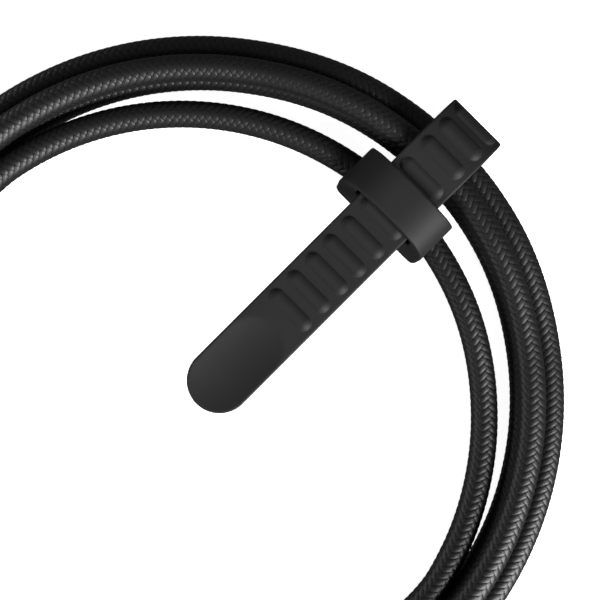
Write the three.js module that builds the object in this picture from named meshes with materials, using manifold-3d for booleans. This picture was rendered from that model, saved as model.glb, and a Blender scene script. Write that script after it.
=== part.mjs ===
// Braided USB-C charging cable, wound into a flat coil and held by a moulded strap.
// Millimetres, +Z up. The coil lies on z = 0. The origin is the middle of the floor area.
//
// Turns of the coil, in the order the cord runs from plug A to plug B:
//   inner turn (passes through the strap's keeper) -> inner floor turn -> outer floor turn
//   -> top turn, which lies on the two floor turns and leads out to plug B.

import * as THREE from 'three';
import { mergeVertices } from 'three/addons/utils/BufferGeometryUtils.js';
import Module from 'manifold-3d';

const wasm = await Module();
wasm.setup();

// ---- Driving dimensions -------------------------------------------------------------------

const COIL_X = 6.5;            // coil centre, so that the origin is the middle of the whole
const CORD_R = 2.5;            // real cord radius
const TUBE_R = 2.35;           // cord solids, a little slimmer so that neighbours stay clear
const FLOOR_Z = CORD_R;        // centre height of a turn on the floor

const OUTER_R = 65.75;         // outer floor turn, centreline
const MIDDLE_R = 60.25;        // inner floor turn, centreline
const TOP_R = 60.95;           // top turn, centreline
const TOP_SHIFT = 0.35;        // top turn's centre, moved towards the strap
const TOP_Z = 7.5;
const INNER_R = 56.3;          // inner turn, about its own centre
const INNER_SHIFT = 4.4;       // that centre lies this far from the coil's, away from the strap

const TIE_DEG = 45;            // where the strap crosses the coil
const LIFT = 2.1;              // the floor turns ride up over the strap's lower run
const LIFT_FLAT_DEG = 15;
const LIFT_END_DEG = 38;

const STRAP_W = 11.8;
const STRAP_T = 1.8;
const STRAP_Z = 10.6;          // centre height of the strap where it passes the keeper
const EDGE = 0.25;             // softened edge of the strap
const TAIL_TIP_X = 0.4;
const PIVOT_X = 44.7;          // where the tail starts to flex
const BAND_END_X = 45.9;
const RIB_W = 2.5;
const RIB_L = 9.3;
const RIB_H = 0.75;
const TAIL_RIBS_X = [24.2, 28.8, 33.4, 37.9, 42.5];

const KEEPER_BASE_X = [46.2, 56.0];
const KEEPER_CROWN_X = [47.9, 55.3];
const KEEPER_HALF = 10.4;
const KEEPER_TOP = 14.2;
const SLOT_Z = [9.2, 12.55];
const SLOT_HALF = 6.65;
const BORE_Z = 5.0;
const BORE_R = 2.85;

const PLUG_AXIS_Z = 3.3;
const HOUSING_L = 24;
const HOUSING_W = 12.2;
const HOUSING_H = 6.4;
const RELIEF_L = 15;
const SHELL_W = 8.34;
const SHELL_H = 2.56;
const SHELL_WALL = 0.2;
const SHELL_OUT = 6.65;
const PLUG_A = { x: -7, y: -46.4, deg: 180 };
const PLUG_B = { x: -75, y: -23, deg: -90 };

// ---- Materials ----------------------------------------------------------------------------

const material = (color, roughness, metalness) =>
  new THREE.MeshStandardMaterial({ color, roughness, metalness });

const braid = material(0x1a1a1b, 0.6, 0);
const silicone = material(0x303033, 0.75, 0);
const housingPlastic = material(0x1d1d1f, 0.5, 0);
const reliefRubber = material(0x18181a, 0.7, 0);
const steel = material(0xb9bbbe, 0.3, 1);
const blackPlastic = material(0x101011, 0.5, 0);
const gold = material(0xc9a24b, 0.3, 1);
const boardGreen = material(0x173d24, 0.6, 0);

// ---- Small helpers ------------------------------------------------------------------------

const rad = THREE.MathUtils.degToRad;

function smooth(t) {
  const c = Math.min(1, Math.max(0, t));
  return c * c * (3 - 2 * c);
}

function toSolid(geometry) {
  const bare = geometry.index ? geometry.toNonIndexed() : geometry.clone();
  bare.deleteAttribute('normal');
  bare.deleteAttribute('uv');
  const merged = mergeVertices(bare, 1e-4);
  return new wasm.Manifold(new wasm.Mesh({
    numProp: 3,
    vertProperties: new Float32Array(merged.attributes.position.array),
    triVerts: new Uint32Array(merged.index.array),
  }));
}

function toGeometry(solid) {
  const mesh = solid.getMesh();
  const geometry = new THREE.BufferGeometry();
  geometry.setAttribute('position', new THREE.BufferAttribute(mesh.vertProperties, 3));
  geometry.setIndex(new THREE.BufferAttribute(mesh.triVerts, 1));
  geometry.computeVertexNormals();
  return geometry;
}

const join = (...parts) => parts.reduce((a, b) => a.add(b));
const cut = (body, ...tools) => tools.reduce((a, b) => a.subtract(b), body);

function named(name, shape, mat) {
  const geometry = shape.isBufferGeometry ? shape : toGeometry(shape);
  const mesh = new THREE.Mesh(geometry, mat);
  mesh.name = name;
  return mesh;
}

function box(x0, x1, y0, y1, z0, z1) {
  const geometry = new THREE.BoxGeometry(x1 - x0, y1 - y0, z1 - z0);
  geometry.translate((x0 + x1) / 2, (y0 + y1) / 2, (z0 + z1) / 2);
  return toSolid(geometry);
}

function roundedRect(width, height, radius) {
  const w = width / 2;
  const h = height / 2;
  const r = Math.min(radius, w, h) - 1e-3;
  const shape = new THREE.Shape();
  shape.moveTo(w, -h + r);
  shape.absarc(w - r, h - r, r, 0, Math.PI / 2);
  shape.absarc(-w + r, h - r, r, Math.PI / 2, Math.PI);
  shape.absarc(-w + r, -h + r, r, Math.PI, 1.5 * Math.PI);
  shape.absarc(w - r, -h + r, r, 1.5 * Math.PI, 2 * Math.PI);
  return shape;
}

// A section drawn in (y, z), extruded along x from x0 to x1.
function alongX(shape, x0, x1, bevel = 0, curveSegments = 4) {
  const geometry = new THREE.ExtrudeGeometry(shape, {
    depth: x1 - x0 - 2 * bevel,
    bevelEnabled: bevel > 0,
    bevelThickness: bevel,
    bevelSize: bevel,
    bevelOffset: -bevel,
    bevelSegments: 2,
    curveSegments,
  });
  geometry.rotateY(Math.PI / 2);
  geometry.rotateX(Math.PI / 2);
  geometry.translate(x0 + bevel, 0, 0);
  return toSolid(geometry);
}

// A section drawn in (x, z), extruded along y, centred on y = 0.
function alongY(shape, width, bevel) {
  const geometry = new THREE.ExtrudeGeometry(shape, {
    depth: width - 2 * bevel,
    bevelEnabled: bevel > 0,
    bevelThickness: bevel,
    bevelSize: bevel,
    bevelOffset: -bevel,
    bevelSegments: 1,
  });
  geometry.rotateX(Math.PI / 2);
  geometry.translate(0, width / 2 - bevel, 0);
  return toSolid(geometry);
}

// A profile of (radius, x) points turned about the x axis.
function turned(profile, segments = 20) {
  const points = profile.map(([r, x]) => new THREE.Vector2(r, x));
  const geometry = new THREE.LatheGeometry(points, segments);
  geometry.rotateZ(-Math.PI / 2);
  return toSolid(geometry);
}

const cylinderX = (r, x0, x1, segments = 20) =>
  turned([[0, x0], [r, x0], [r, x1], [0, x1]], segments);

function circleShape(radius, sides) {
  const points = [];
  for (let i = 0; i < sides; i += 1) {
    const a = (2 * Math.PI * (i + 0.5)) / sides;
    points.push(new THREE.Vector2(radius * Math.cos(a), radius * Math.sin(a)));
  }
  return new THREE.Shape(points);
}

function tube(points, radius, steps, sides = 12) {
  const extrudePath = new THREE.CatmullRomCurve3(points, false, 'centripetal');
  return new THREE.ExtrudeGeometry(circleShape(radius, sides), { steps, extrudePath });
}

// ---- Route of the cord --------------------------------------------------------------------

function lift(deg) {
  const off = Math.abs(((deg - TIE_DEG + 540) % 360) - 180);
  return LIFT * (1 - smooth((off - LIFT_FLAT_DEG) / (LIFT_END_DEG - LIFT_FLAT_DEG)));
}

function polar(deg, r, z) {
  return new THREE.Vector3(r * Math.cos(rad(deg)), r * Math.sin(rad(deg)), z);
}

// Distance from the coil's centre to a circle of radius r whose centre is moved by shift.
function offsetCircle(deg, r, shift) {
  const a = rad(deg - TIE_DEG);
  return shift * Math.cos(a) + Math.sqrt(r * r - (shift * Math.sin(a)) ** 2);
}

// The inner turn sags between plug A and the keeper's bore, and stays level past the keeper.
function innerTurn(deg) {
  const beforeTie = TIE_DEG - deg;
  const sag = 1.7 * smooth((beforeTie - 21) / 27);
  const rise = 0.9 * smooth((beforeTie - 55) / 28);
  return polar(deg, offsetCircle(deg, INNER_R, -INNER_SHIFT), BORE_Z - sag + rise);
}

function topTurn(deg) {
  return polar(deg, offsetCircle(deg, TOP_R, TOP_SHIFT), TOP_Z + lift(deg));
}

function samples(fn, from, to, count) {
  const points = [];
  for (let i = 0; i <= count; i += 1) {
    points.push(fn(from + ((to - from) * i) / count));
  }
  return points;
}

const reliefEnd = (plug, gap) => {
  const reach = HOUSING_L / 2 + RELIEF_L + gap;
  return new THREE.Vector3(
    plug.x - reach * Math.cos(rad(plug.deg)),
    plug.y - reach * Math.sin(rad(plug.deg)),
    PLUG_AXIS_Z,
  );
};

// Inner turn: out of plug A, once round, and down beside the floor turns.
const innerPoints = [
  reliefEnd(PLUG_A, 0.5),
  new THREE.Vector3(22.5, -46.4, 3.3),
  new THREE.Vector3(26.3, -46.1, 3.3),
  new THREE.Vector3(30.7, -44.9, 3.4),
  new THREE.Vector3(35.2, -42.5, 3.6),
  new THREE.Vector3(39.6, -39.0, 3.85),
  ...samples(innerTurn, -38, 128, 20),
  polar(138, 55.0, 4.05),
  polar(148, 54.8, 2.8),
  ...samples((deg) => polar(deg, 54.8, FLOOR_Z), 160, 200, 4),
];

// Top turn: up from between the floor turns, once round, over the outer turn to plug B.
const leadOut = [
  polar(136, 62.0, 7.5),
  polar(143, 63.7, 7.55),
  polar(150, 66.3, 7.5),
  polar(157, 69.4, 6.3),
  polar(164, 72.4, 4.6),
  polar(170.5, 74.5, 3.7),
  new THREE.Vector3(-74.95, 8, 3.3),
  reliefEnd(PLUG_B, 0.5),
];
const topPoints = [...samples(topTurn, -158, 128, 36), ...leadOut];

// ---- Cord solids --------------------------------------------------------------------------

// The two floor turns side by side, as one ring of their outer shape.
function floorTurns() {
  const profile = [];
  const r = TUBE_R;
  const zc = r + 0.02;
  for (let i = 0; i <= 6; i += 1) {
    const a = rad(-90 + 30 * i);
    profile.push(new THREE.Vector2(OUTER_R + r * Math.cos(a), zc + r * Math.sin(a)));
  }
  for (let i = 0; i <= 6; i += 1) {
    const a = rad(90 + 30 * i);
    profile.push(new THREE.Vector2(MIDDLE_R + r * Math.cos(a), zc + r * Math.sin(a)));
  }
  profile.push(profile[0].clone());
  const geometry = new THREE.LatheGeometry(profile, 80);
  geometry.rotateX(Math.PI / 2);
  const p = geometry.attributes.position;
  for (let i = 0; i < p.count; i += 1) {
    const deg = THREE.MathUtils.radToDeg(Math.atan2(p.getY(i), p.getX(i)));
    p.setZ(i, p.getZ(i) + lift(deg));
  }
  return geometry;
}

// ---- Strap --------------------------------------------------------------------------------
// Drawn with x away from the coil's centre along the strap, y across it.

function pill(x, z, tilt) {
  const straight = RIB_L - RIB_W;
  const geometry = new THREE.CapsuleGeometry(RIB_W / 2, straight, 3, 10);
  geometry.scale(1, 1, RIB_H / (RIB_W / 2));
  geometry.rotateY(tilt);
  geometry.translate(x, 0, z);
  return toSolid(geometry);
}

const bandLine = new THREE.CatmullRomCurve3([
  [56.4, 0.9], [59, 0.9], [63, 0.9], [66.6, 0.95], [69.6, 2.2], [71.4, 4.8], [71.7, 7.6],
  [70.6, 10.3], [68.2, 12.2], [65, 13.05], [61.3, 13.2], [58.4, 12.5], [55.9, 11.15],
  [53.6, 10.65], [51, STRAP_Z], [48.5, STRAP_Z], [BAND_END_X, STRAP_Z],
].map(([x, z]) => new THREE.Vector3(x, 0, z)), false, 'centripetal');

function bandShape() {
  const steps = 46;
  const line = bandLine.getSpacedPoints(steps);
  const outer = [];
  const inner = [];
  line.forEach((p, i) => {
    const a = line[Math.max(0, i - 1)];
    const b = line[Math.min(steps, i + 1)];
    const t = new THREE.Vector2(b.x - a.x, b.z - a.z).normalize();
    outer.push(new THREE.Vector2(p.x + t.y * STRAP_T / 2, p.z - t.x * STRAP_T / 2));
    inner.push(new THREE.Vector2(p.x - t.y * STRAP_T / 2, p.z + t.x * STRAP_T / 2));
  });
  return new THREE.Shape([...outer, ...inner.reverse()]);
}

// A rib on the band's outer side, at the place along the line that is nearest to x.
function bandRib(x) {
  const line = bandLine.getSpacedPoints(400).slice(150);
  const i = line.findIndex((p) => p.x <= x);
  const dx = line[i + 1].x - line[i - 1].x;
  const dz = line[i + 1].z - line[i - 1].z;
  const len = Math.hypot(dx, dz);
  const nx = dz / len;
  const nz = -dx / len;
  const reach = STRAP_T / 2;
  return pill(line[i].x + nx * reach, line[i].z + nz * reach, Math.atan2(nx, nz));
}

function strapBand() {
  const ribs = [70.2, 66.6, 62.2, 57.5, 47.3].map(bandRib);
  const end = box(40, BAND_END_X, -10, 10, 5, 15);
  return cut(join(alongY(bandShape(), STRAP_W, EDGE), ...ribs), end);
}

function strapTail() {
  const half = STRAP_W / 2;
  const shape = new THREE.Shape();
  shape.moveTo(PIVOT_X, -half);
  shape.lineTo(PIVOT_X, half);
  shape.lineTo(TAIL_TIP_X + half, half);
  shape.absarc(TAIL_TIP_X + half, 0, half, Math.PI / 2, 1.5 * Math.PI);
  const slab = new THREE.ExtrudeGeometry(shape, {
    depth: STRAP_T - 2 * EDGE,
    bevelThickness: EDGE,
    bevelSize: EDGE,
    bevelOffset: -EDGE,
    bevelSegments: 1,
    curveSegments: 12,
  });
  slab.translate(0, 0, STRAP_Z - STRAP_T / 2 + EDGE);
  const knuckle = new THREE.CylinderGeometry(STRAP_T / 2, STRAP_T / 2, STRAP_W, 16);
  knuckle.translate(PIVOT_X, 0, STRAP_Z);
  const dish = new THREE.SphereGeometry(1, 20, 10);
  dish.scale(9.6, 5.3, 0.55);
  dish.translate(TAIL_TIP_X + 10.3, 0, STRAP_Z + STRAP_T / 2 + 0.02);
  const top = STRAP_Z + STRAP_T / 2;
  const ribs = TAIL_RIBS_X.map((x) => pill(x, top, 0));
  return cut(join(toSolid(slab), toSolid(knuckle), ...ribs), toSolid(dish));
}

function keeper() {
  const outline = new THREE.Shape();
  outline.moveTo(-8.6, 0);
  outline.lineTo(8.6, 0);
  outline.quadraticCurveTo(10.1, 0.2, 10.3, 2.4);
  outline.lineTo(KEEPER_HALF, 6.5);
  outline.bezierCurveTo(KEEPER_HALF, 11.0, 8.6, KEEPER_TOP, 1.5, KEEPER_TOP);
  outline.lineTo(-1.5, KEEPER_TOP);
  outline.bezierCurveTo(-8.6, KEEPER_TOP, -KEEPER_HALF, 11.0, -KEEPER_HALF, 6.5);
  outline.lineTo(-10.3, 2.4);
  outline.quadraticCurveTo(-10.1, 0.2, -8.6, 0);
  const body = alongX(outline, KEEPER_BASE_X[0], KEEPER_BASE_X[1], 0.3, 8);
  // Both faces lean inwards from the base to the crown.
  const leaning = (base, crown, outside) => alongY(new THREE.Shape([
    new THREE.Vector2(base, 0),
    new THREE.Vector2(crown, KEEPER_TOP),
    new THREE.Vector2(crown, KEEPER_TOP + 1),
    new THREE.Vector2(outside, KEEPER_TOP + 1),
    new THREE.Vector2(outside, 0),
  ]), 40, 0);
  const bore = tube(samples((a) => new THREE.Vector3(
    -INNER_SHIFT + INNER_R * Math.cos(rad(a)),
    INNER_R * Math.sin(rad(a)),
    BORE_Z,
  ), -14, 14, 8), BORE_R, 10, 20);
  const slot = alongX(roundedRect(2 * SLOT_HALF, SLOT_Z[1] - SLOT_Z[0], 0.8), 40, 60);
  return cut(
    body,
    leaning(KEEPER_BASE_X[0], KEEPER_CROWN_X[0], 40),
    leaning(KEEPER_BASE_X[1], KEEPER_CROWN_X[1], 60),
    toSolid(bore),
    slot.translate([0, 0, (SLOT_Z[0] + SLOT_Z[1]) / 2]),
  );
}

// ---- Plug ---------------------------------------------------------------------------------
// Drawn with x towards the tip, its origin at the middle of the housing.

function contactComb(z0, z1) {
  const bars = [box(12.35, 13.0, -2.9, 2.9, z0, z1)];
  for (let i = 0; i < 12; i += 1) {
    const y = -2.75 + 0.5 * i;
    bars.push(box(12.9, 17.2, y - 0.11, y + 0.11, z0, z1));
  }
  return join(...bars);
}

function plug(id) {
  const front = HOUSING_L / 2;
  const name = (piece) => `plug_${id}_${piece}`;
  const tip = front + SHELL_OUT;

  const housing = cut(
    alongX(roundedRect(HOUSING_W, HOUSING_H, 2.9), -front, front, 0.7, 4),
    alongX(roundedRect(10.3, 4.6, 1.6), -front + 1.4, front - 2),
    alongX(roundedRect(SHELL_W + 0.6, SHELL_H + 0.6, 1.58), front - 3, front + 1, 0, 6),
    cylinderX(2.65, -front - 1, -front + 2),
  );

  const back = -front - 0.3;
  const end = -front - RELIEF_L;
  const relief = turned([
    [1.75, end], [2.75, end], [2.85, end + 0.3], [2.86, end + 1.8],
    [2.6, end + 2.0], [2.62, end + 2.7], [2.9, end + 2.9], [2.92, end + 4.7],
    [2.66, end + 4.9], [2.68, end + 5.6], [2.95, end + 5.8], [2.97, end + 7.6],
    [2.72, end + 7.8], [2.74, end + 8.5], [3.0, end + 8.7], [3.1, back - 0.3],
    [3.0, back], [2.35, back], [2.35, -front + 1.2], [1.75, -front + 1.2], [1.75, end],
  ], 16);

  const shell = cut(
    alongX(roundedRect(SHELL_W, SHELL_H, 1.28), 7, tip, 0, 5),
    alongX(roundedRect(SHELL_W - 2 * SHELL_WALL, SHELL_H - 2 * SHELL_WALL, 1.08), 6, tip + 1, 0, 5),
  );

  const insulator = join(
    alongX(roundedRect(7.3, 1.5, 0.7), 7.6, 12.05),
    box(11.9, 17.7, -3.6, -3.3, -0.45, 0.45),
    box(11.9, 17.7, 3.3, 3.6, -0.45, 0.45),
    cut(
      alongX(roundedRect(7.3, 1.5, 0.7), 17.5, tip - 0.3),
      alongX(roundedRect(6.5, 0.9, 0.4), 17, tip + 1),
    ),
  );

  const shieldCan = cut(
    box(-5.6, 4.2, -3.7, 3.7, -2.0, -0.75),
    box(-5.3, 3.9, -3.4, 3.4, -1.7, 0),
  );

  const group = new THREE.Group();
  group.add(
    named(name('housing'), housing, housingPlastic),
    named(name('strain_relief'), relief, reliefRubber),
    named(name('shell'), shell, steel),
    named(name('insulator'), insulator, blackPlastic),
    named(name('contacts_upper'), contactComb(0.58, 0.74), gold),
    named(name('contacts_lower'), contactComb(-0.74, -0.58), gold),
    named(name('board'), box(-6.4, 6.7, -4.1, 4.1, -0.4, 0.4), boardGreen),
    named(name('chip'), box(-1.5, 2.5, -2, 2, 0.7, 1.6), blackPlastic),
    named(name('shield_can'), shieldCan, steel),
    named(name('crimp_ring'), cut(cylinderX(2.05, -10.4, -7.4), cylinderX(1.75, -11, -7)), steel),
    named(name('cable_core'), cylinderX(1.45, end + 0.4, -6.8, 16), blackPlastic),
  );
  return group;
}

function placedPlug(id, place) {
  const group = plug(id);
  group.position.set(place.x, place.y, PLUG_AXIS_Z);
  group.rotation.z = rad(place.deg);
  return group;
}

// ---- Assembly -----------------------------------------------------------------------------

const coil = new THREE.Group();
coil.position.x = COIL_X;
coil.add(
  named('cord_floor_turns', floorTurns(), braid),
  named('cord_top_turn', tube(topPoints, TUBE_R, 44), braid),
  named('cord_inner_turn', tube(innerPoints, TUBE_R, 34), braid),
  placedPlug('a', PLUG_A),
  placedPlug('b', PLUG_B),
);

const tie = new THREE.Group();
tie.rotation.z = rad(TIE_DEG);
tie.add(
  named('tie_keeper', keeper(), silicone),
  named('tie_band', strapBand(), silicone),
  named('tie_tail', strapTail(), silicone),
);
coil.add(tie);

const cable = new THREE.Group();
cable.add(coil);

export default cable;
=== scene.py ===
"""Coiled braided charging cable with a moulded strap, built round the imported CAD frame. Metres, +Z up."""
import math

import bmesh
import bpy
import numpy as np
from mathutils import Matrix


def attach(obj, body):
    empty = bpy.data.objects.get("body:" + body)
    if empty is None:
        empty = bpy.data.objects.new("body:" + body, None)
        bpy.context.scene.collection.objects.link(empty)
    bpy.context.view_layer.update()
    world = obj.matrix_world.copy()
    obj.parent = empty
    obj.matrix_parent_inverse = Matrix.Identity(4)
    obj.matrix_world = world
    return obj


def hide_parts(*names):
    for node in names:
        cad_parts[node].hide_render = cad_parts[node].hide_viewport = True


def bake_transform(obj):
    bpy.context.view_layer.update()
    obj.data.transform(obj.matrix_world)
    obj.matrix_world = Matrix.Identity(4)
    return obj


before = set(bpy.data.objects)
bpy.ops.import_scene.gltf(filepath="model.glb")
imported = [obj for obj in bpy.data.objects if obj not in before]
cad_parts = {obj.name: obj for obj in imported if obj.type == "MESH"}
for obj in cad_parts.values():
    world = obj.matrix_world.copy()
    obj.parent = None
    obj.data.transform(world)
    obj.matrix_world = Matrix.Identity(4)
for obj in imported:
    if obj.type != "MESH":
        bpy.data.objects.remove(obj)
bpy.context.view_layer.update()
MM = 0.001

# ---- Layout, in millimetres, as in part.mjs ------------------------------------------------------
COIL_X = 6.5
CORD_R = 2.5
FLOOR_Z = 2.5
OUTER_R = 65.75
MIDDLE_R, MIDDLE_SHIFT = 60.25, 0.5
TOP_R, TOP_SHIFT, TOP_Z = 60.95, 0.35, 7.5
INNER_R, INNER_SHIFT = 56.3, -4.4
BORE_Z = 5.0
TIE_DEG = 45.0
LIFT, LIFT_FLAT_DEG, LIFT_END_DEG = 2.1, 15.0, 38.0
PLUG_AXIS_Z = 3.3
PLUG_A = (-7.0, -46.4, 180.0)
PLUG_B = (-75.0, -23.0, -90.0)
HOUSING_L, RELIEF_L = 24.0, 15.0

# ---- Camera and lights ---------------------------------------------------------------------------
CAMERA_SHIFT = 18.85           # the camera looks straight down this far past the coil's centre, both ways
CAMERA_HEIGHT = 199.0
CAMERA_LENS = 63.0
LIGHT_DISTANCE = 1.0
KEY_AZIMUTH, KEY_ELEVATION, KEY_WIDTH, KEY_HEIGHT, KEY_WATTS = -49.0, 32.0, 0.5, 0.5, 20.0
FILL_AZIMUTH, FILL_ELEVATION, FILL_WIDTH, FILL_HEIGHT, FILL_WATTS = 178.0, 8.0, 2.0, 0.6, 8.0
SURROUNDINGS_STRENGTH = 0.10

scene = bpy.context.scene
camera_data = bpy.data.cameras.new("camera")
camera_data.lens = CAMERA_LENS
camera_data.sensor_width = 36.0
camera_data.clip_start = 0.01
camera = bpy.data.objects.new("camera", camera_data)
camera.location = ((CAMERA_SHIFT + COIL_X) * MM, CAMERA_SHIFT * MM, CAMERA_HEIGHT * MM)
scene.collection.objects.link(camera)
scene.camera = camera


def area_light(name, azimuth, elevation, width, height, watts):
    """A rectangle of light that faces the origin from this side, its angles in degrees."""
    a, e = math.radians(azimuth), math.radians(elevation)
    data = bpy.data.lights.new(name, "AREA")
    data.shape = "RECTANGLE"
    data.size = width
    data.size_y = height
    data.energy = watts
    lamp = bpy.data.objects.new(name, data)
    lamp.location = (
        LIGHT_DISTANCE * math.cos(e) * math.cos(a),
        LIGHT_DISTANCE * math.cos(e) * math.sin(a),
        LIGHT_DISTANCE * math.sin(e),
    )
    lamp.rotation_euler = (-lamp.location).to_track_quat("-Z", "Y").to_euler()
    scene.collection.objects.link(lamp)


area_light("key", KEY_AZIMUTH, KEY_ELEVATION, KEY_WIDTH, KEY_HEIGHT, KEY_WATTS)
area_light("fill", FILL_AZIMUTH, FILL_ELEVATION, FILL_WIDTH, FILL_HEIGHT, FILL_WATTS)

world = bpy.data.worlds.new("studio")
world.use_nodes = True
background = world.node_tree.nodes["Background"]
background.inputs["Color"].default_value = (1.0, 1.0, 1.0, 1.0)
background.inputs["Strength"].default_value = SURROUNDINGS_STRENGTH
scene.world = world
scene.view_settings.view_transform = "Standard"

# ---- Braid ---------------------------------------------------------------------------------------
# Two families of yarns crossing, each over two and under two of the other. A place on the braid is
# (u, v): u counts pitches along the cord, v counts columns of floats round it.
BRAID_PITCH = 1.37 * MM
COLUMNS = 8
COLUMN_TURN_DEG = -17.5        # turns the columns round the cord
LEANING_PHASE = 11.5           # sets which family is on top in the first column
RIGHT_PHASE, LEFT_PHASE = 2.0, 3.0
REPEAT = 4.0                   # crossings before a yarn's over and under repeats
FLOAT_START, FLOAT_END = 0.62, 1.38
YARN_FLATNESS = 2.8
ACROSS_SHARE = 0.54            # share of the height that is the yarn's own roundness
RELIEF = 0.11 * MM
RINGS_PER_PITCH = 4
SIDES_PER_COLUMN = 3
FILAMENTS = 4                  # ridges seen across one yarn
FILAMENT_FLOOR = 0.84          # height between two ridges, as a share of the height on one
BRAID_BUMP = 0.10 * MM
BRAID_SPECULAR, GAP_SPECULAR = 0.5, 0.12
# The first colour is painted shade, the colour that the gaps between floats darken to. The second is the
# yarns' own colour.
BRAID_GAP_SHADE, BRAID_CROWN = (0.003, 0.003, 0.0032), (0.008, 0.008, 0.0083)
BRAID_ROUGH = (0.38, 0.52)


# ---- Materials -----------------------------------------------------------------------------------
class Shader:
    """A Principled material whose node graph is written as short expressions."""

    def __init__(self, name, **constants):
        self.material = bpy.data.materials.new(name)
        self.material.use_nodes = True
        self.tree = self.material.node_tree
        self.surface = self.tree.nodes["Principled BSDF"]
        for socket, value in constants.items():
            self.surface.inputs[socket.replace("_", " ")].default_value = value

    def node(self, kind, inputs=None, **settings):
        made = self.tree.nodes.new(kind)
        for key, value in settings.items():
            setattr(made, key, value)
        for key, value in (inputs or {}).items():
            self.feed(made.inputs[key], value)
        return made

    def feed(self, socket, value):
        if isinstance(value, bpy.types.NodeSocket):
            self.tree.links.new(value, socket)
        else:
            socket.default_value = value

    def math(self, operation, a, b=0.0):
        return self.node("ShaderNodeMath", {0: a, 1: b}, operation=operation).outputs[0]

    def remap(self, value, low, high, from_low=0.0):
        """Takes value from from_low..1 to low..high."""
        ends = {"Value": value, "From Min": from_low, "To Min": low, "To Max": high}
        return self.node("ShaderNodeMapRange", ends).outputs["Result"]

    def ease(self, value, start, end, low=0.0, high=1.0):
        """Takes value from start..end to low..high, with soft ends."""
        ends = {"Value": value, "From Min": start, "From Max": end, "To Min": low, "To Max": high}
        return self.node("ShaderNodeMapRange", ends, interpolation_type="SMOOTHSTEP").outputs["Result"]

    def noise(self, scale, detail=2.0, stretch=(1.0, 1.0, 1.0)):
        place = self.node("ShaderNodeTexCoord").outputs["Object"]
        place = self.node("ShaderNodeMapping", {"Vector": place, "Scale": stretch}).outputs["Vector"]
        made = self.node("ShaderNodeTexNoise", {"Vector": place, "Scale": scale, "Detail": detail})
        return made.outputs["Fac"]

    def tint(self, value, dark, light):
        made = self.node("ShaderNodeMix", {"Factor": value}, data_type="RGBA")
        made.inputs[6].default_value = (*dark, 1.0)
        made.inputs[7].default_value = (*light, 1.0)
        self.tree.links.new(made.outputs[2], self.surface.inputs["Base Color"])

    def bump(self, height, depth):
        made = self.node("ShaderNodeBump", {"Height": height, "Distance": depth})
        self.tree.links.new(made.outputs["Normal"], self.surface.inputs["Normal"])


def braid_material():
    """Two families of flat yarns of fine filaments, woven two over and two under round the cord, with painted
    shade in the gaps between floats.
    """
    shader = Shader("braided_nylon")
    uv = shader.node("ShaderNodeUVMap", uv_map="braid").outputs["UV"]
    split = shader.node("ShaderNodeSeparateXYZ", {"Vector": uv})
    u, v = split.outputs["X"], shader.math("MULTIPLY", split.outputs["Y"], COLUMNS)
    right = shader.math("ADD", shader.math("SUBTRACT", u, v), LEANING_PHASE)
    left = shader.math("ADD", u, v)

    def yarns(own, other, phase):
        """Height of one family, and the place across its yarn from -0.5 to 0.5."""
        index = shader.math("FLOOR", own)
        across = shader.math("SUBTRACT", shader.math("SUBTRACT", own, index), 0.5)
        along = shader.math("ADD", shader.math("SUBTRACT", other, index), phase)
        along = shader.math("SUBTRACT", shader.math("FLOORED_MODULO", along, REPEAT), REPEAT / 2)
        dive = shader.ease(
            shader.math("ABSOLUTE", along), FLOAT_START, FLOAT_END, 1.0 - ACROSS_SHARE, ACROSS_SHARE - 1.0)
        edge = shader.math("MULTIPLY", shader.math("ABSOLUTE", across), 2.0)
        rise = shader.math("MULTIPLY", shader.math("POWER", edge, YARN_FLATNESS), -ACROSS_SHARE)
        height = shader.math("ADD", shader.math("ADD", rise, ACROSS_SHARE), dive)
        return height, across

    height_r, across_r = yarns(right, left, RIGHT_PHASE)
    height_l, across_l = yarns(left, right, LEFT_PHASE)
    on_top = shader.math("MAXIMUM", height_r, height_l)
    is_right = shader.math("GREATER_THAN", height_r, height_l)
    is_left = shader.math("SUBTRACT", 1.0, is_right)
    across = shader.math(
        "ADD", shader.math("MULTIPLY", is_right, across_r), shader.math("MULTIPLY", is_left, across_l))
    waver = shader.math("MULTIPLY", shader.noise(900.0), 1.5)
    ridges = shader.math("MULTIPLY", across, FILAMENTS * 2 * math.pi)
    filaments = shader.math("SINE", shader.math("ADD", ridges, waver))
    filaments = shader.remap(filaments, 0.5, 1.0, from_low=-1.0)
    height = shader.math("MULTIPLY", on_top, shader.remap(filaments, FILAMENT_FLOOR, 1.0))
    shader.bump(height, BRAID_BUMP)
    # Painted shade: the base colour darkens from the tops of the yarns down into the gaps between floats,
    # where shade falls, and the gloss is lowered there too. A random tone over the yarns is mixed into the
    # same colour.
    open_to_light = shader.ease(on_top, 0.05, 0.75)
    gap_shade_and_tone = shader.math("MULTIPLY", open_to_light, shader.remap(shader.noise(350.0, 3.0), 0.7, 1.1))
    shader.tint(gap_shade_and_tone, BRAID_GAP_SHADE, BRAID_CROWN)
    gloss = shader.remap(open_to_light, GAP_SPECULAR, BRAID_SPECULAR)
    shader.feed(shader.surface.inputs["Specular IOR Level"], gloss)
    fuzz = shader.math("MULTIPLY", filaments, shader.noise(2600.0))
    rough = shader.remap(fuzz, BRAID_ROUGH[1], BRAID_ROUGH[0])
    shader.feed(shader.surface.inputs["Roughness"], rough)
    return shader.material


def moulded_material(name, dark, light, rough, grain_mm, depth_mm, **constants):
    """Silicone, rubber or plastic with the fine texture of its mould."""
    shader = Shader(name, **constants)
    grain = shader.noise(1.0 / (grain_mm * MM), 2.0)
    cloud = shader.noise(1.0 / (6.0 * MM), 3.0)
    shader.bump(grain, depth_mm * MM)
    shader.tint(cloud, dark, light)
    blotches = shader.math("ADD", shader.math("MULTIPLY", grain, 0.5), shader.math("MULTIPLY", cloud, 0.5))
    shader.feed(shader.surface.inputs["Roughness"], shader.remap(blotches, *rough))
    return shader.material


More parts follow.
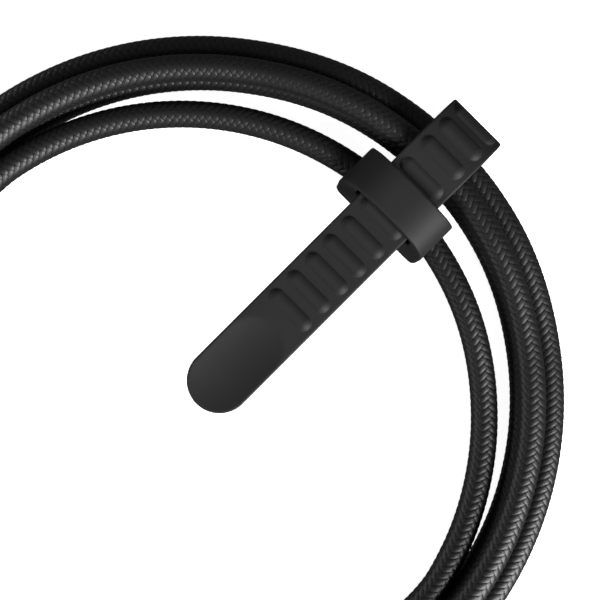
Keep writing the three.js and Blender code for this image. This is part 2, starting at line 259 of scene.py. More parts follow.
def metal_material(name, dark, light, rough, stretch, depth_mm):
    """Plated or drawn metal with fine lines along one direction."""
    shader = Shader(name, Metallic=1.0)
    lines = shader.noise(1.0 / (0.15 * MM), 3.0, stretch)
    shader.bump(lines, depth_mm * MM)
    shader.tint(shader.noise(1.0 / (1.5 * MM), 2.0), dark, light)
    shader.feed(shader.surface.inputs["Roughness"], shader.remap(lines, *rough))
    return shader.material


def board_material():
    """Green solder mask over a copper pattern that shows as a slightly lighter, raised net of tracks."""
    shader = Shader("solder_mask", Roughness=0.32)
    place = shader.node("ShaderNodeTexCoord").outputs["Object"]
    pattern = {
        "Vector": place, "Scale": 1.0 / MM, "Mortar Size": 0.04, "Brick Width": 1.3, "Row Height": 0.45,
    }
    tracks = shader.node("ShaderNodeTexBrick", pattern)
    fade = shader.math("MULTIPLY", tracks.outputs["Fac"], shader.noise(1200.0))
    shader.bump(fade, 0.02 * MM)
    shader.tint(fade, (0.012, 0.075, 0.035), (0.06, 0.22, 0.11))
    return shader.material


def coat(obj, material):
    """Gives obj this one material, whatever slots it has."""
    if not obj.material_slots:
        obj.data.materials.append(material)
    for place in obj.material_slots:
        place.material = material


BRAID = braid_material()
SILICONE = moulded_material(
    "matte_silicone", (0.011, 0.011, 0.0115), (0.0145, 0.0145, 0.015), (0.58, 0.68), 0.12, 0.006,
    Specular_IOR_Level=0.32)
HOUSING = moulded_material(
    "satin_plastic", (0.012, 0.012, 0.013), (0.016, 0.016, 0.017), (0.55, 0.66), 0.10, 0.003,
    Specular_IOR_Level=0.3)
RUBBER = moulded_material(
    "relief_rubber", (0.010, 0.010, 0.0105), (0.015, 0.015, 0.0155), (0.50, 0.65), 0.14, 0.006)
PLASTIC = moulded_material(
    "black_plastic", (0.009, 0.009, 0.009), (0.014, 0.014, 0.014), (0.35, 0.50), 0.08, 0.003)
STEEL = metal_material(
    "drawn_steel", (0.55, 0.56, 0.58), (0.68, 0.69, 0.70), (0.18, 0.34), (1.0, 0.15, 1.0), 0.002)
TIN = metal_material(
    "tinned_can", (0.60, 0.60, 0.59), (0.72, 0.72, 0.71), (0.28, 0.45), (1.0, 1.0, 1.0), 0.003)
GOLD = metal_material(
    "gold_plate", (0.85, 0.60, 0.22), (0.95, 0.72, 0.33), (0.16, 0.30), (1.0, 0.2, 1.0), 0.001)
BOARD = board_material()
PAPER = moulded_material(
    "pale_floor", (0.80, 0.80, 0.80), (0.82, 0.82, 0.82), (0.8, 0.9), 0.5, 0.01,
    Emission_Color=(1.0, 1.0, 1.0, 1.0), Emission_Strength=0.93)
NODE_MATERIALS = {
    "insulator": PLASTIC, "chip": PLASTIC, "cable_core": RUBBER, "shield_can": TIN, "crimp_ring": TIN,
    "contacts_upper": GOLD, "contacts_lower": GOLD, "board": BOARD,
}


# ---- Route of the cord ---------------------------------------------------------------------------
# Millimetres from the coil's centre, and degrees that count on from turn to turn.
INNER_FROM, INNER_TO = -29.9, 128.0
SAG, SAG_FROM_DEG, SAG_OVER_DEG = 1.7, 21.0, 27.0
RISE, RISE_FROM_DEG, RISE_OVER_DEG = 0.9, 55.0, 28.0
CROSSING_R = 54.8              # where the inner turn lies on the floor
DROP_OVER_DEG = 24.0
MIDDLE_JOINED_FROM, MIDDLE_FROM = 208.0, 235.0
MIDDLE_TO, OUTER_FROM = 550.0, 578.0
CLIMB_FROM, CLIMB_TO = 885.0, 920.0
TOP_TO = 1199.9
DEG_STEP = 0.1
SPAN_SAMPLES = 40
SMOOTHING_ROUNDS = 6
RELIEF_END = -(HOUSING_L / 2 + RELIEF_L)
INSIDE_RELIEF, STRAIGHT_OUT = 2.0, 0.5
LEAD_IN = [
    (22.5, -46.4, 3.3), (26.3, -46.1, 3.3), (30.7, -44.9, 3.4), (35.2, -42.5, 3.6), (39.6, -39.0, 3.85),
]
LEAD_IN_DEG = (-38.0, -34.0, -30.0)
LEAD_OUT_DEG = (120.0, 124.0, 128.0)
LEAD_OUT = [                   # degrees, radius and height
    (136.0, 62.0, 7.5), (143.0, 63.7, 7.55), (150.0, 66.3, 7.5), (157.0, 69.4, 6.3),
    (164.0, 72.4, 4.6), (170.5, 74.5, 3.7),
]
LEAD_OUT_LAST = (-74.95, 8.0, 3.3)


def smooth(t):
    t = np.clip(t, 0.0, 1.0)
    return t * t * (3.0 - 2.0 * t)


def from_tie(deg):
    """Degrees between a place on the coil and the tie."""
    return np.abs((deg - TIE_DEG + 180.0) % 360.0 - 180.0)


def lift(deg):
    """How far the band under the bundle raises it here."""
    return LIFT * (1.0 - smooth((from_tie(deg) - LIFT_FLAT_DEG) / (LIFT_END_DEG - LIFT_FLAT_DEG)))


def offset_circle(deg, r, shift):
    """Radius, seen from the coil's centre, of a circle moved this far towards the tie."""
    a = np.radians(deg - TIE_DEG)
    return shift * np.cos(a) + np.sqrt(r * r - (shift * np.sin(a)) ** 2)


def polar(deg, r, z):
    """Points in millimetres in the row frame, from angle, radius and height in the coil."""
    a = np.radians(deg)
    return np.stack([r * np.cos(a) + COIL_X, r * np.sin(a), z * np.ones_like(a)], axis=-1)


def inner_lane(deg):
    """Level through the keeper and past it; before it, down towards the floor and a little up again."""
    before_tie = TIE_DEG - deg
    sag = SAG * smooth((before_tie - SAG_FROM_DEG) / SAG_OVER_DEG)
    rise = RISE * smooth((before_tie - RISE_FROM_DEG) / RISE_OVER_DEG)
    return offset_circle(deg, INNER_R, INNER_SHIFT), BORE_Z - sag + rise


def middle_lane(deg):
    return offset_circle(deg, MIDDLE_R, MIDDLE_SHIFT), FLOOR_Z + lift(deg)


def outer_lane(deg):
    return OUTER_R + 0.0 * deg, FLOOR_Z + lift(deg)


def top_lane(deg):
    return offset_circle(deg, TOP_R, TOP_SHIFT), TOP_Z + lift(deg)


def mix(a, b, t):
    """Radius and height that pass softly from one lane's to another's."""
    w = smooth(t)
    return a[0] * (1 - w) + b[0] * w, a[1] * (1 - w) + b[1] * w


def crossing_lane(deg):
    """From the inner lane down to the floor, and on outwards to the middle lane."""
    low = CROSSING_R + 0.0 * deg, FLOOR_Z + 0.0 * deg
    inside = mix(inner_lane(deg), low, (deg - INNER_TO) / DROP_OVER_DEG)
    return mix(inside, middle_lane(deg), (deg - MIDDLE_JOINED_FROM) / (MIDDLE_FROM - MIDDLE_JOINED_FROM))


def widening_lane(deg):
    return mix(middle_lane(deg), outer_lane(deg), (deg - MIDDLE_TO) / (OUTER_FROM - MIDDLE_TO))


def climbing_lane(deg):
    """From the outer lane up and over the middle lane's strand to the top lane."""
    base = offset_circle(deg, MIDDLE_R, MIDDLE_SHIFT)
    top = offset_circle(deg, TOP_R, TOP_SHIFT)
    end_angle = np.arctan2(TOP_Z - FLOOR_Z, top - base)
    end_reach = np.hypot(TOP_Z - FLOOR_Z, top - base)
    w = smooth((deg - CLIMB_FROM) / (CLIMB_TO - CLIMB_FROM))
    angle = w * end_angle
    reach = (OUTER_R - base) * (1 - w) + end_reach * w
    return base + reach * np.cos(angle), FLOOR_Z + reach * np.sin(angle)


def catmull(points, samples):
    """Centripetal Catmull-Rom through the points, with this many samples to a span."""
    p = [np.asarray(q, float) for q in points]
    p = [2 * p[0] - p[1]] + p + [2 * p[-1] - p[-2]]
    out = []
    for i in range(1, len(p) - 2):
        p0, p1, p2, p3 = p[i - 1 : i + 3]
        t0 = 0.0
        t1 = t0 + np.linalg.norm(p1 - p0) ** 0.5
        t2 = t1 + np.linalg.norm(p2 - p1) ** 0.5
        t3 = t2 + np.linalg.norm(p3 - p2) ** 0.5
        t = np.linspace(t1, t2, samples, endpoint=False)[:, None]
        a1 = (t1 - t) / (t1 - t0) * p0 + (t - t0) / (t1 - t0) * p1
        a2 = (t2 - t) / (t2 - t1) * p1 + (t - t1) / (t2 - t1) * p2
        a3 = (t3 - t) / (t3 - t2) * p2 + (t - t2) / (t3 - t2) * p3
        b1 = (t2 - t) / (t2 - t0) * a1 + (t - t0) / (t2 - t0) * a2
        b2 = (t3 - t) / (t3 - t1) * a2 + (t - t1) / (t3 - t1) * a3
        out.append((t2 - t) / (t2 - t1) * b1 + (t - t1) / (t2 - t1) * b2)
    out.append(p[-2][None, :])
    return np.concatenate(out)


def plug_point(plug, along):
    """A point on a plug's axis, this far towards the tip from the middle of its housing."""
    x, y, deg = plug
    a = math.radians(deg)
    return np.array([x + along * math.cos(a) + COIL_X, y + along * math.sin(a), PLUG_AXIS_Z])


def from_centre(x, y, z):
    return np.array([x + COIL_X, y, z])


def lane_point(lane, deg):
    return polar(np.array([deg]), *lane(np.array([deg])))[0]


def lane_points(lane, start, stop):
    deg = np.arange(start, stop, DEG_STEP)
    return polar(deg, *lane(deg))


def cord_route():
    """Points of the cord's centreline in metres, from plug A to plug B, evenly spaced."""
    start = [plug_point(PLUG_A, RELIEF_END + INSIDE_RELIEF), plug_point(PLUG_A, RELIEF_END - STRAIGHT_OUT)]
    start += [from_centre(*point) for point in LEAD_IN]
    start += [lane_point(inner_lane, deg) for deg in LEAD_IN_DEG]
    end = [lane_point(top_lane, deg) for deg in LEAD_OUT_DEG]
    end += [polar(np.array([deg]), r, z)[0] for deg, r, z in LEAD_OUT]
    end += [from_centre(*LEAD_OUT_LAST)]
    end += [plug_point(PLUG_B, RELIEF_END - STRAIGHT_OUT), plug_point(PLUG_B, RELIEF_END + INSIDE_RELIEF)]
    parts = [
        catmull(start, SPAN_SAMPLES),
        lane_points(inner_lane, INNER_FROM, INNER_TO),
        lane_points(crossing_lane, INNER_TO, MIDDLE_FROM),
        lane_points(middle_lane, MIDDLE_FROM, MIDDLE_TO),
        lane_points(widening_lane, MIDDLE_TO, OUTER_FROM),
        lane_points(outer_lane, OUTER_FROM, CLIMB_FROM),
        lane_points(climbing_lane, CLIMB_FROM, CLIMB_TO),
        lane_points(top_lane, CLIMB_TO, TOP_TO),
        catmull(end, SPAN_SAMPLES),
    ]
    return np.concatenate(parts) * MM


def resample(points, step):
    """The same line with its points about this far apart, and its length."""
    run = np.concatenate([[0.0], np.cumsum(np.linalg.norm(np.diff(points, axis=0), axis=1))])
    keep = np.concatenate([[True], np.diff(run) > 1e-7])
    points, run = points[keep], run[keep]
    count = int(round(run[-1] / step)) + 1
    at = np.linspace(0.0, run[-1], count)
    return np.stack([np.interp(at, run, points[:, k]) for k in range(3)], axis=-1), run[-1]


def braid_height(u, v):
    """Height of the braid's surface, about 0 to 1, as in braid_material."""
    right, left = u - v + LEANING_PHASE, u + v
    tops = []
    for own, other, phase in ((right, left, RIGHT_PHASE), (left, right, LEFT_PHASE)):
        index = np.floor(own)
        across = 2 * np.abs(own - index - 0.5)
        along = np.abs((other - index + phase) % REPEAT - REPEAT / 2)
        dive = 1.0 - 2.0 * smooth((along - FLOAT_START) / (FLOAT_END - FLOAT_START))
        tops.append(ACROSS_SHARE * (1.0 - across ** YARN_FLATNESS) + (1.0 - ACROSS_SHARE) * dive)
    return np.maximum(*tops)


def frames_along(centre):
    """Unit tangent, sideways and upward vectors at each point of a line that never stands upright."""
    tangent = np.gradient(centre, axis=0)
    tangent /= np.linalg.norm(tangent, axis=1)[:, None]
    side = np.cross(tangent, [0.0, 0.0, 1.0])
    side /= np.linalg.norm(side, axis=1)[:, None]
    return tangent, side, np.cross(side, tangent)


def braid_uv(mesh, place, cap_loops):
    """Pitches along the cord as u, and once round it as 0 to 1 in v."""
    rings, sides = place.shape
    following = np.roll(place, -1, axis=1)
    v0 = np.arange(sides)[None, :] / sides + np.zeros((rings - 1, 1))
    v1 = v0 + 1 / sides
    corners = np.stack([
        np.stack([place[:-1], v0], -1), np.stack([place[1:], v0], -1),
        np.stack([following[1:], v1], -1), np.stack([following[:-1], v1], -1),
    ], axis=2).reshape(-1, 2)
    corners = np.concatenate([corners, np.zeros((cap_loops, 2))])
    mesh.uv_layers.new(name="braid").data.foreach_set("uv", corners.astype(np.float32).ravel())


def build_cord(name, route):
    """A tube whose rings zigzag with the floats, so that each ring runs along a float or along a gap."""
    sides = COLUMNS * SIDES_PER_COLUMN
    centre, length = resample(route, BRAID_PITCH / RINGS_PER_PITCH)
    for _ in range(SMOOTHING_ROUNDS):
        centre[1:-1] = (centre[:-2] + 2 * centre[1:-1] + centre[2:]) / 4
    rings = len(centre)
    tangent, side, up = frames_along(centre)
    around = np.arange(sides) / sides
    angle = 2 * np.pi * around - np.pi / 2 + math.radians(COLUMN_TURN_DEG)
    along = np.arange(rings) * (length / (rings - 1)) / BRAID_PITCH
    column, over = np.divmod(np.arange(sides), SIDES_PER_COLUMN)
    zigzag = (0.5 - over / SIDES_PER_COLUMN) * np.where(column % 2 == 0, 1.0, -1.0)
    fade = smooth(np.minimum(along, along[::-1]) / 2)
    shift = zigzag[None, :] * fade[:, None]
    place = along[:, None] + shift
    radius = CORD_R * MM - RELIEF * (1.0 - braid_height(place, COLUMNS * around[None, :]))
    outwards = side[:, None, :] * np.cos(angle)[None, :, None] + up[:, None, :] * np.sin(angle)[None, :, None]
    forwards = tangent[:, None, :] * (shift * BRAID_PITCH)[:, :, None]
    verts = (centre[:, None, :] + outwards * radius[:, :, None] + forwards).reshape(-1, 3)

    i = np.arange(rings - 1)[:, None] * sides
    j = np.arange(sides)[None, :]
    k = (j + 1) % sides
    quads = np.stack([i + j, i + sides + j, i + sides + k, i + k], axis=-1).reshape(-1, 4)
    caps = []
    first, last = len(verts), len(verts) + 1
    last_ring = (rings - 1) * sides
    for q in range(sides):
        r = (q + 1) % sides
        caps.append((first, q, r))
        caps.append((last, last_ring + r, last_ring + q))
    verts = np.concatenate([verts, centre[:1], centre[-1:]])
    faces = quads.tolist() + caps
    mesh = bpy.data.meshes.new(name)
    mesh.from_pydata(verts.tolist(), [], faces)
    mesh.polygons.foreach_set("use_smooth", np.ones(len(faces), bool))
    braid_uv(mesh, place, len(caps) * 3)
    mesh.validate()
    obj = bpy.data.objects.new(name, mesh)
    scene.collection.objects.link(obj)
    return obj, centre, length


cord, cord_path, cord_length = build_cord("cord", cord_route())
coat(cord, BRAID)
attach(cord, "cable")
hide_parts("cord_floor_turns", "cord_top_turn", "cord_inner_turn")


# ---- Mesh helpers --------------------------------------------------------------------------------
MERGE = 1e-6                   # points closer than this become one
CORNER_POINTS = 8


def mesh_object(name, verts, faces, material, sharp_deg=None):
    """An object from points in metres, its doubles merged, its faces smooth and pointing outwards."""
    mesh = bpy.data.meshes.new(name)
    mesh.from_pydata(np.asarray(verts).tolist(), [], faces)
    work = bmesh.new()
    work.from_mesh(mesh)
    bmesh.ops.remove_doubles(work, verts=work.verts, dist=MERGE)
    bmesh.ops.dissolve_degenerate(work, edges=work.edges, dist=MERGE)
    bmesh.ops.recalc_face_normals(work, faces=work.faces)
    work.to_mesh(mesh)
    work.free()
    mesh.polygons.foreach_set("use_smooth", [True] * len(mesh.polygons))
    if sharp_deg is not None:
        mesh.set_sharp_from_angle(angle=math.radians(sharp_deg))
    obj = bpy.data.objects.new(name, mesh)
    scene.collection.objects.link(obj)
    coat(obj, material)
    return obj


def grid_faces(rows, columns, close_rows=False):
    """Quads over a grid of points stored row by row, each row closed on itself."""
    faces = []
    for i in range(rows if close_rows else rows - 1):
        below, above = i * columns, (i + 1) % rows * columns
        for j in range(columns):
            k = (j + 1) % columns
            faces.append((below + j, below + k, above + k, above + j))
    return faces


def turn_and_move(points, x, y, z, deg):
    """Points in millimetres in a piece's own frame to metres in the row frame."""
    points = np.asarray(points, float)
    a = math.radians(deg)
    across = x + points[..., 0] * math.cos(a) - points[..., 1] * math.sin(a)
    along = y + points[..., 0] * math.sin(a) + points[..., 1] * math.cos(a)
    return np.stack([across, along, z + points[..., 2]], axis=-1) * MM


def from_tie_frame(points):
    """The tie's frame: x away from the coil's centre, y across the strap, z up from the floor."""
    return turn_and_move(points, COIL_X, 0.0, 0.0, TIE_DEG)


def from_plug_frame(points, plug):
    """The plug's frame: x towards the tip from the middle of the housing, z up from its axis."""
    x, y, deg = plug
    return turn_and_move(points, COIL_X + x, y, PLUG_AXIS_Z, deg)


def shape_of(obj):
    """The mesh of obj with its modifiers applied; obj itself is removed."""
    scene.view_layers[0].update()
    graph = bpy.context.evaluated_depsgraph_get()
    mesh = bpy.data.meshes.new_from_object(obj.evaluated_get(graph))
    bpy.data.objects.remove(obj)
    return mesh


# ---- Strap ---------------------------------------------------------------------------------------
STRAP_HALF, STRAP_T, STRAP_Z, STRAP_EDGE = 5.9, 1.8, 10.6, 0.34
TIP_X = 0.4
TIP_CENTRE_X = TIP_X + STRAP_HALF
BAND_LINE = [
    (55.2, 0.9), (59.0, 0.9), (63.0, 0.9), (66.6, 0.95), (69.6, 2.2), (71.4, 4.8), (71.7, 7.6),
    (70.6, 10.3), (68.2, 12.2), (65.0, 13.05), (61.3, 13.2), (58.4, 12.5), (55.9, 11.15),
    (53.6, 10.65), (51.0, STRAP_Z), (48.5, STRAP_Z), (45.9, STRAP_Z),
]
RIBS_X = (70.2, 66.6, 62.2, 57.5, 52.4, 47.3, 42.5, 37.9, 33.4, 28.8, 24.2)
RIB_HALF_W, RIB_HALF_L, RIB_H = 1.42, 4.75, 0.62
DISH_END_X, DISH_R, DISH_DEPTH = 14.6, 5.5, 0.55
DISH_SOFTNESS = 0.004          # rounds the dish's rim
FINE_ROW, COARSE_ROW = 0.14, 0.45
ROW_MARGIN, ROW_LEAD = 0.3, 0.2     # how far fine rows run past a rib, and start ahead of it
BAND_SAMPLES, TAIL_POINTS = 60, 400
TIP_ROWS = 32
TANGENT_REACH = 0.2


def strap_section():
    """Closed outline of the strap's section as (across, height above its middle), outer side first."""
    flat, rise = STRAP_HALF - STRAP_EDGE, STRAP_T / 2 - STRAP_EDGE
    rib_round, rib_past = 3.2, 4.9
    half = np.concatenate([
        np.arange(0.0, rib_round, 0.4),
        np.arange(rib_round, rib_past, 0.13),
        np.linspace(rib_past, flat, 4)[:-1],
    ])
    outer = np.concatenate([half[::-1], -half[1:]])
    corner = np.radians(np.linspace(0.0, 90.0, 7))
    right = [(flat + STRAP_EDGE * math.cos(a), rise + STRAP_EDGE * math.sin(a)) for a in corner]
    left = [(-y, h) for y, h in right[::-1]]
    top = right + [(y, STRAP_T / 2) for y in outer] + left
    lower_left = [(y, -h) for y, h in left[::-1]]
    lower_right = [(y, -h) for y, h in right[::-1]]
    under = [(y, -STRAP_T / 2) for y in np.linspace(-flat, flat, 14)[1:-1]]
    return np.array(top + lower_left + under + lower_right), len(right), len(outer)


def strap_line():
    """Middle line of band and tail as (x, z), its run in mm, and where each rib lies on that run."""
    band = catmull([np.array(p) for p in BAND_LINE], BAND_SAMPLES)
    tail_x = np.linspace(BAND_LINE[-1][0], TIP_CENTRE_X, TAIL_POINTS)[1:]
    tail = np.stack([tail_x, np.full(len(tail_x), STRAP_Z)], axis=-1)
    line = np.concatenate([band, tail])
    run = np.concatenate([[0.0], np.cumsum(np.linalg.norm(np.diff(line, axis=0), axis=1))])
    fold = int(np.argmax(line[:, 0]))
    places = [float(np.interp(-x, -line[fold:, 0], run[fold:])) for x in RIBS_X]
    return line, run, places


def rib_height(along, across, places):
    """Domes with round ends that lie across the strap, one at each place."""
    total = np.zeros(np.broadcast(along, across).shape)
    beyond = np.maximum(np.abs(across) - (RIB_HALF_L - RIB_HALF_W), 0.0)
    for place in places:
        out = np.hypot(along - place, beyond) / RIB_HALF_W
        dome = np.maximum(1.0 - out * out, 0.0) ** 0.75
        total = np.maximum(total, RIB_H * dome)
    return total


def dish_depth(x, across):
    """The thumb dish, a long hollow with round ends and a soft rim."""
    beyond = np.where(x > DISH_END_X, x - DISH_END_X, np.where(x < TIP_CENTRE_X, TIP_CENTRE_X - x, 0.0))
    inside = 1.0 - (np.hypot(beyond, across) / DISH_R) ** 2
    return DISH_DEPTH * (inside + np.sqrt(inside * inside + DISH_SOFTNESS)) / 2


def strap_rows(length, places):
    """Where the strap's sections lie along its run: close together on the ribs, wider elsewhere."""
    at, stops = 0.0, []
    while at < length:
        stops.append(at)
        near = min(abs(at - place) for place in places)
        if near < RIB_HALF_W + ROW_MARGIN:
            at += FINE_ROW
        else:
            at += min(COARSE_ROW, max(FINE_ROW, near - RIB_HALF_W - ROW_LEAD))
    return np.array(stops[:-1] + [length])


def build_strap():
    """Band and tail as one skin: the section carried along the line, then fanned round the tip."""
    section, corner, outer = strap_section()
    line, run, places = strap_line()
    stops = strap_rows(run[-1], places)
    x, z = np.interp(stops, run, line[:, 0]), np.interp(stops, run, line[:, 1])
    ahead = np.stack([np.interp(stops + TANGENT_REACH, run, line[:, k]) for k in (0, 1)], axis=-1)
    behind = np.stack([np.interp(stops - TANGENT_REACH, run, line[:, k]) for k in (0, 1)], axis=-1)
    t = ahead - behind
    t /= np.linalg.norm(t, axis=1)[:, None]
    across, height = section[:, 0], section[:, 1]
    is_outer = np.zeros(len(section), bool)
    is_outer[corner : corner + outer] = True
    ribs = rib_height(stops[:, None], across[None, :], places)
    dish = dish_depth(x[:, None], across[None, :])
    lifted = height[None, :] + np.where(is_outer[None, :], ribs - dish, 0.0)
    points = np.stack([
        x[:, None] + t[:, 1][:, None] * lifted,
        np.broadcast_to(across, lifted.shape),
        z[:, None] - t[:, 0][:, None] * lifted,
    ], axis=-1)
    fan = np.radians(np.linspace(90.0, 180.0, TIP_ROWS + 1))[1:]
    fan_x = TIP_CENTRE_X + np.abs(across)[None, :] * np.cos(fan)[:, None]
    fan_y = across[None, :] * np.sin(fan)[:, None]
    fan_h = height[None, :] - np.where(is_outer[None, :], dish_depth(fan_x, fan_y), 0.0)
    tip = np.stack([fan_x, fan_y, STRAP_Z + fan_h], axis=-1)
    points = np.concatenate([points, tip])
    rows, columns = points.shape[:2]
    faces = grid_faces(rows, columns)
    faces.append(tuple(range(columns)))
    return mesh_object("tie_strap", from_tie_frame(points).reshape(-1, 3), faces, SILICONE)


# ---- Keeper --------------------------------------------------------------------------------------
KEEPER_BASE_X, KEEPER_CROWN_X = (46.2, 56.0), (47.9, 55.3)
KEEPER_HALF, KEEPER_TOP = 10.4, 14.2
SLOT_Z, SLOT_HALF, SLOT_CORNER = (9.2, 12.55), 6.65, 0.8
SLOT_THROUGH_X = (40.0, 60.0)
BORE_R = 2.7
BORE_HALF_DEG = 15.0
BASE_HALF, SHOULDER_HALF, CROWN_HALF = 8.6, 10.3, 1.5
KEEPER_VOXEL, KEEPER_ROUNDS = 0.2, 8


def bezier(a, b, c, d, count):
    t = np.linspace(0.0, 1.0, count)[:, None]
    a, b, c, d = (np.array(p) for p in (a, b, c, d))
    return (1 - t) ** 3 * a + 3 * t * (1 - t) ** 2 * b + 3 * t * t * (1 - t) * c + t ** 3 * d


def mirrored(half):
    """An outline from its right half, which runs from the bottom up."""
    half = np.asarray(half)
    return np.concatenate([half, half[::-1] * [-1.0, 1.0]])


def prism(name, outline, bottom_x, top_x, top_z):
    """The outline in (y, z) carried along x between two faces that lean from bottom_x to top_x."""
    outline = np.asarray(outline)
    ends = [
        np.column_stack([low + (high - low) * outline[:, 1] / top_z, outline])
        for low, high in zip(bottom_x, top_x)
    ]
    count = len(outline)
    faces = grid_faces(2, count) + [tuple(range(count)), tuple(range(count, 2 * count))]
    return mesh_object(name, from_tie_frame(np.concatenate(ends)), faces, SILICONE)


def pipe(name, centres, radius, sides=48):
    """A round bar through the centres, in the tie's frame."""
    _, side, up = frames_along(centres)
    a = np.arange(sides) * 2 * np.pi / sides
    outwards = side[:, None] * np.cos(a)[:, None] + up[:, None] * np.sin(a)[:, None]
    rings = centres[:, None] + radius * outwards
    rows = len(centres)
    faces = grid_faces(rows, sides) + [tuple(range(sides)), tuple(range((rows - 1) * sides, rows * sides))]
    return mesh_object(name, from_tie_frame(rings).reshape(-1, 3), faces, SILICONE)


def rounded_outline(width, height, radius):
    """A rectangle about the origin with round corners, CORNER_POINTS to a corner."""
    w, h = width / 2 - radius, height / 2 - radius
    points = []
    for cy, cz, start in ((w, -h, -90.0), (w, h, 0.0), (-w, h, 90.0), (-w, -h, 180.0)):
        for a in np.radians(np.linspace(start, start + 90.0, CORNER_POINTS)):
            points.append((cy + radius * math.cos(a), cz + radius * math.sin(a)))
    return np.array(points)


def build_keeper():
    """One body less its slot and bore, then remeshed evenly so that all its edges come out soft."""
    foot = bezier((BASE_HALF, 0.0), (9.7, 0.05), (10.2, 0.9), (SHOULDER_HALF, 2.4), 7)
    arch = bezier(
        (KEEPER_HALF, 6.5), (KEEPER_HALF, 11.0), (BASE_HALF, KEEPER_TOP), (CROWN_HALF, KEEPER_TOP), 30)
    outline = mirrored(np.concatenate([foot, arch]))
    keeper = prism("keeper_body", outline, KEEPER_BASE_X, KEEPER_CROWN_X, KEEPER_TOP)
    opening = rounded_outline(2 * SLOT_HALF, SLOT_Z[1] - SLOT_Z[0], SLOT_CORNER)
    opening += [0.0, (SLOT_Z[0] + SLOT_Z[1]) / 2]
    slot = prism("slot", opening, SLOT_THROUGH_X, SLOT_THROUGH_X, KEEPER_TOP)
    a = np.radians(np.linspace(-BORE_HALF_DEG, BORE_HALF_DEG, 25))
    centres = np.stack([INNER_SHIFT + INNER_R * np.cos(a), INNER_R * np.sin(a), 0 * a + BORE_Z], -1)
    bore = pipe("bore", centres, BORE_R)
    for tool in (slot, bore):
        step = keeper.modifiers.new(tool.name, "BOOLEAN")
        step.operation = "DIFFERENCE"
        step.object = tool
        step.solver = "EXACT"
    remesh = keeper.modifiers.new("even", "REMESH")
    remesh.mode = "VOXEL"
    remesh.voxel_size = KEEPER_VOXEL * MM
    rounding = keeper.modifiers.new("round", "SMOOTH")
    rounding.factor = 0.5
    rounding.iterations = KEEPER_ROUNDS
    mesh = shape_of(keeper)
    for tool in (slot, bore):
        bpy.data.objects.remove(tool)
    mesh.polygons.foreach_set("use_smooth", [True] * len(mesh.polygons))
    obj = bpy.data.objects.new("keeper", mesh)
    scene.collection.objects.link(obj)
    coat(obj, SILICONE)
    return obj


# ---- Plugs ---------------------------------------------------------------------------------------
HOUSING_W, HOUSING_H, HOUSING_CORNER = 12.2, 6.4, 2.9
GROOVE_FROM, GROOVE_TO = 3.2, 2.9   # back from the front face
GROOVE_DEPTH, GROOVE_SLOPE = 0.15, 0.08
BACK_ROUND, FRONT_ROUND = 1.3, 0.7
BACK_WALL, MOUTH_DEPTH = 1.4, 2.0
BORE_CHAMFER, MOUTH_GAP, MOUTH_CHAMFER = 0.25, 0.25, 0.15
SHELL_W, SHELL_H, SHELL_CORNER, SHELL_WALL, SHELL_OUT = 8.34, 2.56, 1.28, 0.2, 6.65
SHELL_BACK_X = 7.0
PLUG_BORE_R = 2.65
CAVITY = (10.3, 4.6, 1.6)      # width, height and corner of the hollow inside the housing
RELIEF_R, RELIEF_FLARE, RELIEF_BORE_R = 2.76, 0.34, 1.8
RING_PITCH, RING_DIP = 2.75, 0.24
LOFT_POINTS = 4 * CORNER_POINTS


def loft(name, plug, stations, material, sharp_deg):
    """A closed skin through rounded outlines (x, width, height, corner), back round to the first one."""
    rings = []
    for x, w, h, r in stations:
        outline = rounded_outline(w, h, min(r, w / 2, h / 2) - 0.001)
        rings.append(np.column_stack([np.full(LOFT_POINTS, x), outline]))
    faces = grid_faces(len(rings), LOFT_POINTS, close_rows=True)
    return mesh_object(name, from_plug_frame(np.concatenate(rings), plug), faces, material, sharp_deg)


def turned(name, plug, profile, material, sharp_deg, sides=56):
    """A closed (x, radius) profile turned about the plug's axis."""
    a = np.arange(sides) * 2 * np.pi / sides
    profile = np.asarray(profile, float)
    rings = np.stack([
        np.broadcast_to(profile[:, :1], (len(profile), sides)),
        profile[:, 1:] * np.cos(a), profile[:, 1:] * np.sin(a),
    ], axis=-1).reshape(-1, 3)
    faces = grid_faces(len(profile), sides, close_rows=True)
    return mesh_object(name, from_plug_frame(rings, plug), faces, material, sharp_deg)


def grown(size, by):
    """Width, height and corner of an outline that lies this far outside another."""
    return size[0] + 2 * by, size[1] + 2 * by, size[2] + by


def rounded_end(x, size, depth, inwards, count):
    """Stations that roll over an end of the housing with a quarter round, from its side to its face."""
    return [
        (x + inwards * depth * (1 - math.sin(a)), *grown(size, -depth * (1 - math.cos(a))))
        for a in np.radians(np.linspace(0.0, 90.0, count))
    ]


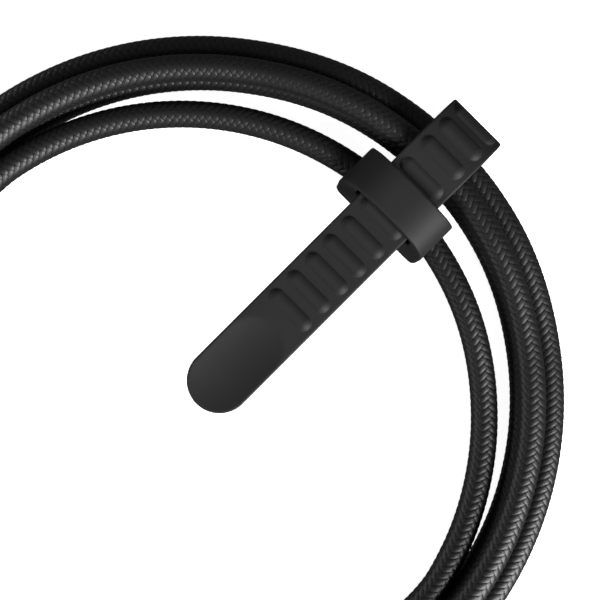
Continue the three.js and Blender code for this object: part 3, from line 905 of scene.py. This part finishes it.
def build_housing(plug, name):
    """The outside with its groove and round ends, the mouth, the cavity and the hole for the cord."""
    front = HOUSING_L / 2
    size = (HOUSING_W, HOUSING_H, HOUSING_CORNER)
    groove = grown(size, -GROOVE_DEPTH)
    bore = (2 * PLUG_BORE_R, 2 * PLUG_BORE_R, PLUG_BORE_R)
    mouth = grown((SHELL_W, SHELL_H, SHELL_CORNER), MOUTH_GAP)
    stations = [(-front + BACK_WALL, *CAVITY), (-front + BACK_WALL, *bore)]
    stations += [(-front + BORE_CHAMFER, *bore), (-front, *grown(bore, BORE_CHAMFER))]
    stations += rounded_end(-front, size, BACK_ROUND, 1.0, 7)[::-1]
    stations += [(front - GROOVE_FROM - GROOVE_SLOPE, *size), (front - GROOVE_FROM, *groove)]
    stations += [(front - GROOVE_TO, *groove), (front - GROOVE_TO + GROOVE_SLOPE, *size)]
    stations += rounded_end(front, size, FRONT_ROUND, -1.0, 6)
    stations += [(front, *grown(mouth, MOUTH_CHAMFER)), (front - MOUTH_CHAMFER, *mouth)]
    stations += [(front - MOUTH_DEPTH, *mouth), (front - MOUTH_DEPTH, *CAVITY)]
    return loft(name, plug, stations, HOUSING, 40.0)


def build_shell(plug, name):
    """A thin sleeve with its front edge drawn in."""
    tip = HOUSING_L / 2 + SHELL_OUT
    outer = (SHELL_W, SHELL_H, SHELL_CORNER)
    inner = grown(outer, -SHELL_WALL)
    stations = [(SHELL_BACK_X, *inner), (SHELL_BACK_X, *outer), (tip - 5.4, *outer), (tip - 0.35, *outer)]
    stations += [(tip - 0.12, *grown(outer, -0.04)), (tip, *grown(outer, -0.13)), (tip - 0.05, *inner)]
    return loft(name, plug, stations, STEEL, 35.0)


def build_relief(plug, name):
    """A sleeve with soft rings, thinner towards the cord."""
    end, back = -HOUSING_L / 2 - RELIEF_L, -HOUSING_L / 2 - 0.3
    inside = -HOUSING_L / 2 + 1.2
    profile = [(end + 0.35, RELIEF_BORE_R), (end, 2.56), (end + 0.05, 2.68), (end + 0.2, 2.75)]
    for x in np.linspace(end + 0.35, back - 0.3, 70):
        along = (x - end) / (back - end)
        ring = math.cos(2 * math.pi * (x - end - 1.0) / RING_PITCH)
        is_ringed = 1.5 < x - end < RELIEF_L - 2.2
        dip = RING_DIP * (0.5 - 0.5 * ring) ** 4 * is_ringed
        profile.append((x, RELIEF_R + RELIEF_FLARE * along - dip))
    profile += [(back - 0.08, 3.04), (back, 2.9), (back, 2.35), (inside, 2.35), (inside, RELIEF_BORE_R)]
    return turned(name, plug, profile, RUBBER, 50.0)


# ---- Pieces on their bodies ----------------------------------------------------------------------
PLUG_PIECES = (
    (build_housing, "housing", "housing", "housing"),
    (build_relief, "strain_relief", "strain_relief", "strain_relief"),
    (build_shell, "steel_shell", "shell", "shell_steel"),
)

strap = build_strap()
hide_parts("tie_band", "tie_tail")
keeper = build_keeper()
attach(keeper, "tie")
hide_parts("tie_keeper")
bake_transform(strap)

for key, plug in (("a", PLUG_A), ("b", PLUG_B)):
    for build, piece, node, slot in PLUG_PIECES:
        made = build(plug, f"{piece}_{key}")
        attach(made, "cable")
        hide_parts(f"plug_{key}_{node}")
    for node, material in NODE_MATERIALS.items():
        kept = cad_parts[f"plug_{key}_{node}"]
        coat(kept, material)

# ---- Floor and backdrop --------------------------------------------------------------------------
STAGE_R, STAGE_INNER_R = 3.0, 0.3
STAGE_SIDES = 96
DOME_TOP_DEG, DOME_RINGS = 80.0, 17


def stage_sheet(name, heights, radii, closed):
    """Rings of points about the origin joined into one sheet, kept out of every reflection."""
    a = np.arange(STAGE_SIDES) * 2 * np.pi / STAGE_SIDES
    rings = [np.stack([r * np.cos(a), r * np.sin(a), z + 0 * a], -1) for r, z in zip(radii, heights)]
    faces = grid_faces(len(rings), STAGE_SIDES)
    if closed:
        faces.append(tuple(range(STAGE_SIDES)))
    made = mesh_object(name, np.concatenate(rings), faces, PAPER)
    made.visible_diffuse = False
    made.visible_glossy = False
    return made


stage_sheet("floor", [0.0, 0.0], [STAGE_INNER_R, STAGE_R], closed=True)
tilt = np.radians(np.linspace(0.0, DOME_TOP_DEG, DOME_RINGS))
backdrop = stage_sheet("backdrop", STAGE_R * np.sin(tilt), STAGE_R * np.cos(tilt), closed=False)
backdrop.visible_shadow = False
